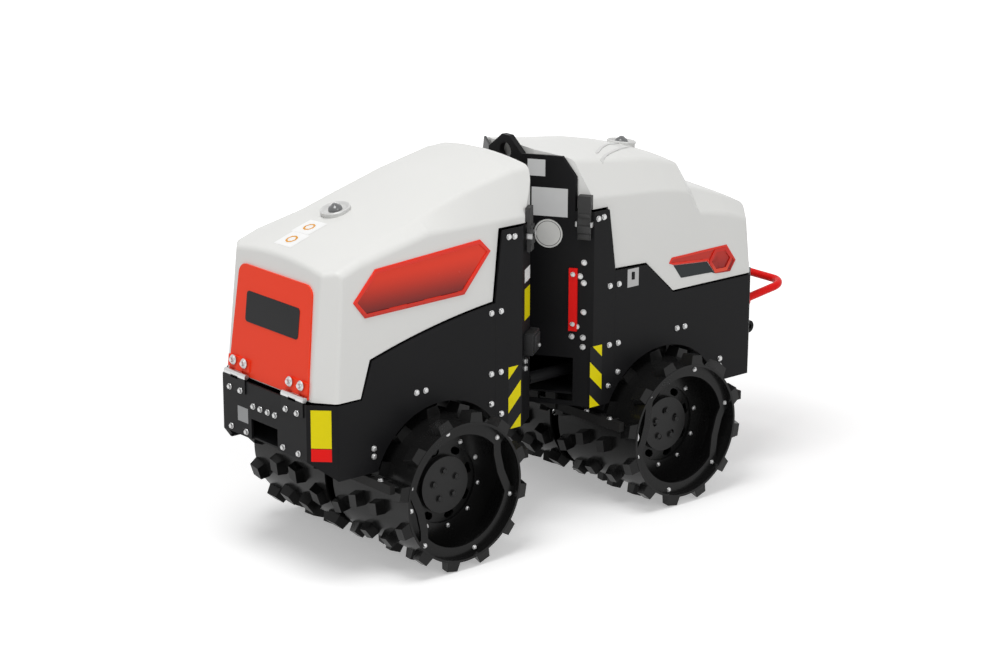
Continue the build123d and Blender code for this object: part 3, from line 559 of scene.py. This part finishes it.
for end, side in ends.items():
    axis = joints[f"{end}_hood_tilt"]["pos_m"]
    coat(leaf_finish(f"{end}_fixed_leaf", *charcoal_tones, axis), f"{end}_hinge_leaves")
    coat(leaf_finish(f"{end}_moving_leaf", *orange_tones, axis), f"{end}_hood_hinges")
    low, high = bmesh.new(), bmesh.new()
    out = Vector((side, 0, leaf_lean)).normalized()
    for hand in hands.values():
        for y in hinge_bolt_y:
            foot = (end_x[end] + side * leaf_stand, hand * y, axis[2] - leaf_drop)
            bolt_heads(low, [foot], (side, 0, 0))
            foot = Vector((axis[0] - side * leaf_stand, hand * y, axis[2] + leaf_rise))
            bmesh.ops.create_cone(high, cap_ends=True, segments=32, radius1=washer_foot, radius2=washer_top,
                                  depth=washer_thick, matrix=Matrix.Translation(foot) @ turned_to(out))
            bolt_heads(high, [foot + washer_thick / 2 * out], out)
    piece(f"{end}_hinge_low_bolts", low, bright, f"{end}_module")
    piece(f"{end}_hinge_high_bolts", high, bright, f"{end}_hood")


# Hood latches: black rubber straps with moulded grips and steps, each held between two zinc ears.
# They pull the hoods' inner corners down onto the tubs.
# The middle of each strap's outer face as (x, y), then its outward direction
latch_faces = {"front": (0.2044, 0.2750, -0.577, 0.817), "rear": (-0.0224, 0.2728, 0.836, 0.548)}
# Blocks as (share of the strap's height, half across, half up, how far they stand out)
latch_steps = [(0.56, 0.0195, 0.006, 0.005), (0.24, 0.0215, 0.012, 0.007), (0.08, 0.0185, 0.010, 0.004)]
latch_half, latch_sink = 0.0215, 0.002
ear_share, ear_half, ear_rise, ear_stand, ear_sink = 0.37, 0.004, 0.009, 0.010, 0.012


def rubber(name, tone, roughness):
    finish = Finish(name)
    clouds = finish.noise(18.0, 4.0)
    pores = finish.noise(700.0, 1.0)
    return finish.done(
        Base_Color=finish.mix(clouds, grey(0.8 * tone), grey(tone)),
        Roughness=roughness + 0.15 * (clouds - 0.5),
        Normal=finish.bump(pores, 0.0001),
    )


def slab(mesh, seat, across, along, low, high, ease=0.0015):
    """A block with eased edges that stands on a seat from low to high, its other sizes halves."""
    centre = seat @ Matrix.Translation((0, 0, (low + high) / 2))
    shape = centre @ Matrix.Diagonal((2 * across, 2 * along, high - low, 1))
    made = bmesh.ops.create_cube(mesh, size=1.0, matrix=shape)
    edges = list({edge for vertex in made["verts"] for edge in vertex.link_edges})
    bmesh.ops.bevel(mesh, geom=edges, offset=ease, offset_type="OFFSET", segments=2, profile=0.5,
                    affect="EDGES", material=-1)


def upright(out):
    """A turn whose Z goes along out and whose Y stays upright."""
    out = Vector(out)
    return Matrix((upward.cross(out).normalized(), upward, out)).transposed().to_4x4()


strap = rubber("latch_rubber", 0.022, 0.60)
buckle = zinc("buckle_zinc", 0.38)
coat(strap, "front_latches", "rear_latches")
for end, (x, y, out_x, out_y) in latch_faces.items():
    low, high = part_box(f"{end}_latches")
    grips, ears = bmesh.new(), bmesh.new()
    for hand in hands.values():
        turn = upright((out_x, hand * out_y, 0))
        for share, across, along, stand in latch_steps:
            seat = Matrix.Translation((x, hand * y, low.z + share * (high.z - low.z))) @ turn
            slab(grips, seat, across, along, -latch_sink, stand)
        seat = Matrix.Translation((x, hand * y, low.z + ear_share * (high.z - low.z))) @ turn
        for edge in (1, -1):
            beside = seat @ Matrix.Translation((edge * (latch_half + ear_half), 0, 0))
            slab(ears, beside, ear_half, ear_rise, -ear_sink, ear_stand)
    piece(f"{end}_latch_grips", grips, strap, f"{end}_hood")
    piece(f"{end}_latch_ears", ears, buckle, f"{end}_hood")


# Receivers of the remote control: a pale moulded ring let into the roof, with a dished floor and a
# smoked grey dome. Each is turned full circle about the direction in which its roof faces.
receiver_facing = {"front": (0.26, 0, 1), "rear": (-0.12, 0, 1)}
receiver_reach = {"front": 0.625, "rear": 0.555}
receiver_drop = 0.022
# Profiles from the outer foot inwards, as (radius, height over the roof)
ring_profile = [(0.0470, -0.014), (0.0485, 0.0060), (0.0500, 0.0090), (0.0495, 0.0140), (0.0460, 0.0165),
                (0.0415, 0.0150), (0.0385, 0.0105), (0.0330, 0.0080), (0.0, 0.0080)]
dome_profile = [(0.0230, 0.0070), (0.0226, 0.0140), (0.0190, 0.0205), (0.0120, 0.0245), (0.0060, 0.0295),
                (0.0, 0.0300)]
turn_steps, weld = 48, 0.00005


def turned(mesh, profile, seat):
    """A round part, turned from its profile about the seat's Z."""
    points = [mesh.verts.new((radius, 0, height)) for radius, height in profile]
    edges = [mesh.edges.new(pair) for pair in zip(points, points[1:])]
    bmesh.ops.spin(mesh, geom=points + edges, cent=(0, 0, 0), axis=(0, 0, 1), angle=radians(360),
                   steps=turn_steps, use_merge=True, use_duplicate=False)
    bmesh.ops.remove_doubles(mesh, verts=mesh.verts, dist=weld)
    bmesh.ops.recalc_face_normals(mesh, faces=mesh.faces)
    bmesh.ops.transform(mesh, matrix=seat, verts=mesh.verts)


pale_plastic = moulded("receiver_ring", (0.64, 0.64, 0.63, 1), (0.70, 0.70, 0.69, 1), 0.30)
finish = Finish("receiver_dome")
clouds = finish.noise(90.0, 3.0)
smoked = finish.done(
    Base_Color=finish.mix(clouds, (0.09, 0.093, 0.096, 1), (0.17, 0.173, 0.176, 1)),
    Roughness=0.18 + 0.08 * (clouds - 0.5),
    Coat_Weight=0.4,
)
for end, side in ends.items():
    low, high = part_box(f"{end}_receiver")
    foot = (pivot + side * receiver_reach[end], (low.y + high.y) / 2, high.z - receiver_drop)
    seat = Matrix.Translation(foot) @ turned_to(receiver_facing[end])
    ring, dome = bmesh.new(), bmesh.new()
    turned(ring, ring_profile, seat)
    turned(dome, dome_profile, seat)
    thing = piece(f"{end}_receiver_ring", ring, pale_plastic, f"{end}_hood", 40)
    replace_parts(thing, f"{end}_receiver")
    piece(f"{end}_receiver_dome", dome, smoked, f"{end}_hood", 50)


# Two raised ribs in the rear roof, moulded in pale plastic. They carry the receiver's cable under
# the hood, and lie on its surface.
rib_routes = [
    [(-0.178, 0.158), (-0.2482, 0.1015), (-0.3177, 0.0572), (-0.400, 0.020)],
    [
        (-0.142, 0.222), (-0.195, 0.1847), (-0.2549, 0.1507),
        (-0.3078, 0.1249), (-0.3753, 0.0876), (-0.420, 0.060),
    ],
]
rib_half, rib_rise, rib_sink = 0.0045, 0.0035, 0.001
above_roof = 1.3
ribs = bmesh.new()
for route in rib_routes:
    spots = [Vector((x, y, above_roof)) for x, y in route]
    rows = []
    for i, spot in enumerate(spots):
        ahead = (spots[min(i + 1, len(spots) - 1)] - spots[max(i - 1, 0)]).normalized()
        aside = rib_half * ahead.cross(upward)
        rows.append((ribs.verts.new(spot - aside), ribs.verts.new(spot + aside)))
    for (a, b), (c, d) in zip(rows, rows[1:]):
        ribs.faces.new((a, b, d, c))
bmesh.ops.subdivide_edges(ribs, edges=ribs.edges[:], cuts=2, use_grid_fill=True)
lay(ribs, "rear_hood", (0, 0, -1), -rib_sink)
raised(ribs, ribs.faces[:], (0, 0, rib_rise + rib_sink))
bmesh.ops.recalc_face_normals(ribs, faces=ribs.faces)
piece("rear_roof_ribs", ribs, pale_plastic, "rear_hood")


# Roof labels of the front hood: two white vinyl squares, stuck down one behind the other, each with
# an amber ring of eight sides.
label_places = [(0.811, -0.037), (0.734, -0.049)]
label_size, patch_size = (0.076, 0.088), (0.040, 0.044)
label_lift, patch_lift = 0.0005, 0.0009
# The ring's width as a share of its radius
patch_line = 0.34


def vinyl_film(name, colour):
    finish = Finish(name)
    clouds = finish.noise(25.0, 3.0)
    shade = tuple(0.92 * part for part in colour[:3]) + (1,)
    return finish.done(
        Base_Color=finish.mix(clouds, shade, colour),
        Roughness=0.34 + 0.1 * (clouds - 0.5),
        Specular_IOR_Level=0.15,
    )


def roof_patch(name, size, lift, material, outline=False):
    mesh = bmesh.new()
    for reach, y in label_places:
        seat = Matrix.Translation((pivot + reach, y, above_roof))
        seat @= Matrix.Diagonal((size[0] / 2, size[1] / 2, 1, 1))
        if outline:
            disc = bmesh.ops.create_circle(mesh, cap_ends=True, segments=8, radius=1.0)
            face = disc["verts"][0].link_faces[0]
            bmesh.ops.inset_individual(mesh, faces=[face], thickness=patch_line)
            bmesh.ops.delete(mesh, geom=[face], context="FACES_ONLY")
            made = [vertex for vertex in mesh.verts if vertex.co.z == 0]
            bmesh.ops.transform(mesh, matrix=seat, verts=made)
        else:
            bmesh.ops.create_grid(mesh, x_segments=3, y_segments=3, size=1.0, matrix=seat)
    lay(mesh, "front_hood", (0, 0, -1), lift)
    piece(name, mesh, material, "front_hood")


white_film = vinyl_film("white_vinyl", (0.96, 0.96, 0.955, 1))
amber_film = vinyl_film("amber_vinyl", (0.80, 0.36, 0.03, 1))
roof_patch("roof_labels", label_size, label_lift, white_film)
roof_patch("roof_label_patches", patch_size, patch_lift, amber_film, outline=True)


# Steering cylinder: a black painted barrel, and a hard-chromed rod that goes to the front module.
# It hangs between its seat on the rear bulkhead and the clevis.
coat(charcoal, "steering_barrel")
finish = Finish("hard_chrome")
clouds = finish.noise(30.0, 2.0)
chrome = finish.done(Base_Color=(0.62, 0.63, 0.65, 1), Metallic=1.0, Roughness=0.12 + 0.05 * (clouds - 0.5))
coat(chrome, "steering_rod")


# What the rear bulkhead carries on its left wing: two plain labels, a pale round plate with a thin
# dark line, and the bar that locks the pivot. That bar and the one at the rear end are painted red.
# Labels as (from, to, foot, top), the first two measured from the machine's middle
wing_labels = {
    "wing_label_large": (0.112, 0.214, 1.020, 1.115),
    "wing_label_small": (0.100, 0.150, 1.152, 1.207),
}
wing_lift = 0.0005
disc_y, disc_z, disc_radius, disc_thick, disc_sides = 0.160, 0.962, 0.048, 0.0030, 36
# The wing slants, so a circle on it is narrower across the machine
disc_narrow = 0.836
line_near, line_far = 0.0405, 0.0425


def label(name, start, stop, low, high, lift, material, body, slot="grey_plastic"):
    """A vinyl label on an upright wall."""
    mesh = bmesh.new()
    film(mesh, start, stop, low, high, lift)
    piece(name, mesh, material, body)


def wing_spot(y, z=0):
    """A place on the left wing, at a distance from the machine's middle and a height."""
    share = (y - wing_near[1]) / (wing_far[1] - wing_near[1])
    return Vector((pivot - wing_near[0] - share * (wing_far[0] - wing_near[0]), y, z))


pale_film = vinyl_film("pale_label", (0.64, 0.645, 0.645, 1))
for name, (near, far, low, high) in wing_labels.items():
    label(name, wing_spot(near).xy, wing_spot(far).xy, low, high, wing_lift, pale_film, "rear_module")
finish = Finish("round_plate")
centre = wing_spot(disc_y, disc_z)
away = finish.distance(X=centre.x, Y=centre.y, Z=centre.z)
clouds = finish.noise(25.0, 3.0)
plain = finish.mix(clouds, (0.64, 0.64, 0.62, 1), (0.72, 0.72, 0.70, 1))
round_film = finish.done(
    Base_Color=finish.mix((away < line_far) - (away < line_near), plain, grey(0.10)),
    Roughness=0.34 + 0.1 * (clouds - 0.5),
    Specular_IOR_Level=0.15,
)
spots = []
for i in range(disc_sides):
    turn = radians(i * 360 / disc_sides)
    spot = wing_spot(disc_y + disc_narrow * disc_radius * cos(turn), disc_z + disc_radius * sin(turn))
    spots.append(spot + wing_lift * wing_out)
disc = bmesh.new()
plate(disc, spots, disc_thick)
piece("wing_disc", disc, round_film, "rear_module")
signal_red = powder_coat("signal_red_paint", (0.82, 0.010, 0.009, 1), (0.90, 0.013, 0.012, 1), 0.34, 500.0)
coat(signal_red, "lock_bar", "handle_bar")


# Engine under the rear hood: a cast crankcase on a foot, a finned cylinder, a round blower housing,
# and an air cleaner and a silencer side by side on top. It is bolted to the rear module's belly.
cast = powder_coat("cast_alloy", (0.16, 0.16, 0.158, 1), (0.26, 0.26, 0.255, 1), 0.52, 130.0)
low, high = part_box("engine")
size = high - low
middle = (low + high) / 2
fin_count, fin_start, fin_pitch, fin_thick = 9, 0.47, 0.027, 0.010
# Blocks as (half length, half width, foot, top) in shares of the engine's box, shift and ease
case_blocks = [
    (0.44, 0.40, 0, 0.46, 0, 0.012), (0.50, 0.50, 0, 0.06, 0, 0.006), (0.30, 0.24, 0.44, 0.72, -0.02, 0.010)
]
for i in range(fin_count):
    foot = fin_start + i * fin_pitch
    case_blocks.append((0.34, 0.28, foot, foot + fin_thick, -0.02, 0.001))
blower_radius, blower_depth, blower_z = 0.150, 0.062, 0.47
blower_inset = 0.10 * size.x + 0.03
blower_profile = [(0.0, 0.0), (blower_radius, 0.0), (blower_radius, 0.8 * blower_depth),
                  (0.93 * blower_radius, blower_depth), (0.62 * blower_radius, blower_depth),
                  (0.58 * blower_radius, 0.8 * blower_depth), (0.0, 0.8 * blower_depth)]
can_radius, can_half, can_round, can_z = 0.052, 0.135, 0.010, 0.86
can_profile = [(0.0, -can_half), (can_radius - can_round, -can_half), (can_radius, can_round - can_half),
               (can_radius, can_half - can_round), (can_radius - can_round, can_half), (0.0, can_half)]
cans = {"engine_air_cleaner": (-0.075, slate), "engine_silencer": (0.045, bright)}


def lying(x, z, axis):
    """A seat in the machine's middle plane whose Z lies along the machine or across it."""
    turn = Matrix.Rotation(radians(90), 4, "Y") if axis == "x" else Matrix.Rotation(radians(-90), 4, "X")
    return Matrix.Translation((x, 0, z)) @ turn


case = bmesh.new()
for half_x, half_y, foot, top, shift, ease in case_blocks:
    seat = Matrix.Translation((middle.x + shift, 0, low.z))
    slab(case, seat, half_x * size.x, half_y * size.y, foot * size.z, top * size.z, ease)
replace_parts(piece("engine_case", case, cast, "rear_module"), "engine")
blower = bmesh.new()
turned(blower, blower_profile, lying(high.x - blower_inset, low.z + blower_z * size.z, "x"))
piece("engine_blower", blower, charcoal, "rear_module", 40)
for name, (shift, material) in cans.items():
    can = bmesh.new()
    turned(can, can_profile, lying(middle.x + shift, low.z + can_z * size.z, "y"))
    piece(name, can, material, "rear_module", 40)


# Hydraulic tank under the front hood: folded and welded steel with eased edges, a filler cap on
# top, and a row of bolts round its access cover.
low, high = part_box("hydraulic_tank")
size = high - low
middle = (low + high) / 2
neck, shell_ease = 0.034, 0.016
top = high.z - neck
cover_x, cover_y, cover_sink, cover_thick, cover_ease = 0.30 * size.x, 0.30 * size.y, 0.001, 0.006, 0.002
bolt_share, bolt_rise, cap_rise = 0.88, 0.005, 0.004
cap_profile = [(0.032, 0.0), (0.032, 0.016), (0.028, 0.022), (0.012, 0.024), (0.0, 0.024)]
tank, cover, cap, heads = bmesh.new(), bmesh.new(), bmesh.new(), bmesh.new()
seat = Matrix.Translation((middle.x, middle.y, low.z))
slab(tank, seat, size.x / 2, size.y / 2, 0, size.z - neck, shell_ease)
seat = Matrix.Translation((middle.x, middle.y, top - cover_sink))
slab(cover, seat, cover_x, cover_y, 0, cover_thick, cover_ease)
turned(cap, cap_profile, Matrix.Translation((middle.x, middle.y, top + cap_rise)))
places = [
    (middle.x + a * bolt_share * cover_x, middle.y + b * bolt_share * cover_y, top + bolt_rise)
    for a in (-1, 0, 1) for b in (-1, 0, 1) if a or b
]
bolt_heads(heads, places, upward, small_hexagon)
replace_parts(piece("tank_shell", tank, charcoal, "front_module"), "hydraulic_tank")
piece("tank_cover", cover, worn, "front_module")
piece("tank_cap", cap, slate, "front_module", 40)
piece("tank_bolts", heads, bright, "front_module")


# Labels on the front end plate and its left corner: a grey one low on the right side of the
# machine, and a plain yellow one over a red strip on the slanting corner.
grey_film = vinyl_film("grey_label", (0.36, 0.365, 0.37, 1))
yellow_film = vinyl_film("yellow_vinyl", (0.88, 0.75, 0.002, 1))
red_film = vinyl_film("red_vinyl", (0.90, 0.008, 0.006, 1))
# The slanting corner's two ends, and the shares of its width at which its labels begin and stop
corner_near, corner_far = Vector((pivot + 0.957, 0.222)), Vector((pivot + 0.886, 0.290))
start, stop = (corner_near.lerp(corner_far, share) for share in (0.14, 0.79))
end_near, end_far = (end_x["front"], -0.143), (end_x["front"], -0.087)
# Labels as (from, to, foot, top, how far they stand off, film)
front_labels = {
    "end_label": (end_near, end_far, 0.463, 0.512, 0.0002, grey_film),
    "corner_label": (start, stop, 0.463, 0.586, 0.0003, yellow_film),
    "corner_strip": (start, stop, 0.420, 0.461, 0.0003, red_film),
}
for name, measures in front_labels.items():
    label(name, *measures, "front_module")


# What the front module's left corner wall carries beside the pivot: a white label over a yellow
# one, and a dark sensor box with a screw in its lid and two bolts under it.
wall_at = Vector((0.2172, 0.2641, 0))
wall_out = Vector((-0.577, 0.817, 0))
wall_along = Vector((wall_out.y, -wall_out.x, 0))
start, stop = ((wall_at + reach * wall_along).xy for reach in (0.016, -0.052))
wall_lift = 0.0004
# Labels as (foot, top, film)
wall_labels = {
    "corner_wall_label": (0.852, 0.896, white_film),
    "corner_wall_strip": (0.727, 0.831, yellow_film),
}
box_shift, box_z = 0.022, 0.648
# Blocks as (half across, half up, foot, top, ease)
box_blocks = [(0.044, 0.036, -0.001, 0.030, 0.003), (0.034, 0.028, 0.028, 0.035, 0.002)]
lid_screw, lid_screw_size = (0.022, -0.016, 0.035), 0.0055
wall_bolts = [(-0.022, -0.060, 0), (-0.022, -0.085, 0)]
box_plastic = powder_coat("sensor_box", (0.020, 0.020, 0.021, 1), (0.032, 0.032, 0.033, 1), 0.45, 200.0)
for name, (low, high, material) in wall_labels.items():
    label(name, start, stop, low, high, wall_lift, material, "front_module", "hood_white")
boxes, heads = bmesh.new(), bmesh.new()
seat = Matrix.Translation(wall_at - box_shift * wall_along + box_z * upward) @ upright(wall_out)
for half_across, half_up, foot, top, ease in box_blocks:
    slab(boxes, seat, half_across, half_up, foot, top, ease)
piece("sensor_box", boxes, box_plastic, "front_module")
bolt_heads(heads, [seat @ Vector(lid_screw)], wall_out, lid_screw_size)
bolt_heads(heads, [seat @ Vector(place) for place in wall_bolts], wall_out)
piece("sensor_box_bolts", heads, bright, "front_module")


# Catches of the rear hood on both side plates: a pressed zinc plate with an upright slot. They are
# screwed on from inside.
catch_reach, catch_low, catch_high, catch_thick = (-0.312, -0.362), 0.764, 0.826, 0.0020
slot_reach, slot_low, slot_high, slot_thick = (-0.332, -0.343), 0.788, 0.814, 0.0004
catch_lift, slot_lift = 0.0001, 0.0020
catches, slots = bmesh.new(), bmesh.new()
for hand in hands.values():
    side_film(catches, hand, catch_reach, catch_low, catch_high, catch_lift, catch_thick)
    side_film(slots, hand, slot_reach, slot_low, slot_high, slot_lift, slot_thick)
piece("hood_catches", catches, zinc("catch_plate", 0.34), "rear_module")
piece("hood_catch_slots", slots, charcoal, "rear_module")


# The studio: a pale seamless floor, two soft lamps and an even white sky. The floor keeps the shadow and
# looks white to the camera and in reflections, and so does the sky. Near the machine the floor's glow is
# dimmer, which paints shade round the machine and darkens its shadow.
floor_half, painted_shade_near, painted_shade_far = 40.0, 1.3, 4.0
sky_level = 0.40
# Lamps as (place, watts, size)
lamps = {"key": ((2.7, 1.0, 7.4), 280, 3.2), "fill": ((0.3, 7.0, 4.0), 90, 3.5)}
lamp_target = (pivot, 0, 0.6)
mesh = bmesh.new()
bmesh.ops.create_grid(mesh, x_segments=1, y_segments=1, size=floor_half)
data = bpy.data.meshes.new("floor")
mesh.to_mesh(data)
mesh.free()
ground = bpy.data.objects.new("floor", data)
bpy.context.scene.collection.objects.link(ground)
finish = Finish("floor_paint")
# The glow is dimmer close to the machine: painted shade round it, which deepens its cast shadow
away = finish.distance(X=0, Y=0).within(painted_shade_near, painted_shade_far)
watched = finish.rays("Is Camera Ray").greater(finish.rays("Is Glossy Ray"))
data.materials.append(finish.done(
    Base_Color=grey(0.88),
    Roughness=0.9,
    Specular_IOR_Level=0.0,
    Emission_Color=finish.mix(watched, grey(0), finish.mix(away, grey(0.35), grey(0.80))),
    Emission_Strength=1.0,
))
ground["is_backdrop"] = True
finish = Finish("sky", bpy.data.worlds.new("sky"))
watched = finish.rays("Is Camera Ray").greater(finish.rays("Is Glossy Ray"))
sky = finish.node("ShaderNodeBackground", {}, [grey(1), sky_level + (1 - sky_level) * watched])
bpy.context.scene.world = finish.surface(sky, "ShaderNodeOutputWorld")


def aimed(name, data, place, target, roll=0.0):
    """Puts a lamp or a camera at a place and points it at a target."""
    thing = bpy.data.objects.new(name, data)
    bpy.context.scene.collection.objects.link(thing)
    aim = (Vector(target) - Vector(place)).to_track_quat("-Z", "Y").to_matrix().to_4x4()
    thing.matrix_world = Matrix.Translation(place) @ aim @ Matrix.Rotation(roll, 4, "Z")
    return thing


for name, (place, power, size) in lamps.items():
    light = bpy.data.lights.new(name, "AREA")
    light.energy = power
    light.size = size
    aimed(name, light, place, lamp_target)

# The camera stands where the photograph was taken from
lens = bpy.data.cameras.new("camera")
lens.lens = 100.54
lens.sensor_width = 36
lens.shift_x = 0.0017
lens.shift_y = 0.0277
eye, target, roll = (5.8577, 6.7985, 3.2354), (pivot, 0, 0.5031), radians(0.17)
bpy.context.scene.camera = aimed("camera", lens, eye, target, roll)
bpy.context.scene.view_settings.view_transform = "Standard"

boxes = {"cad": cad_box, "visual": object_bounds()}
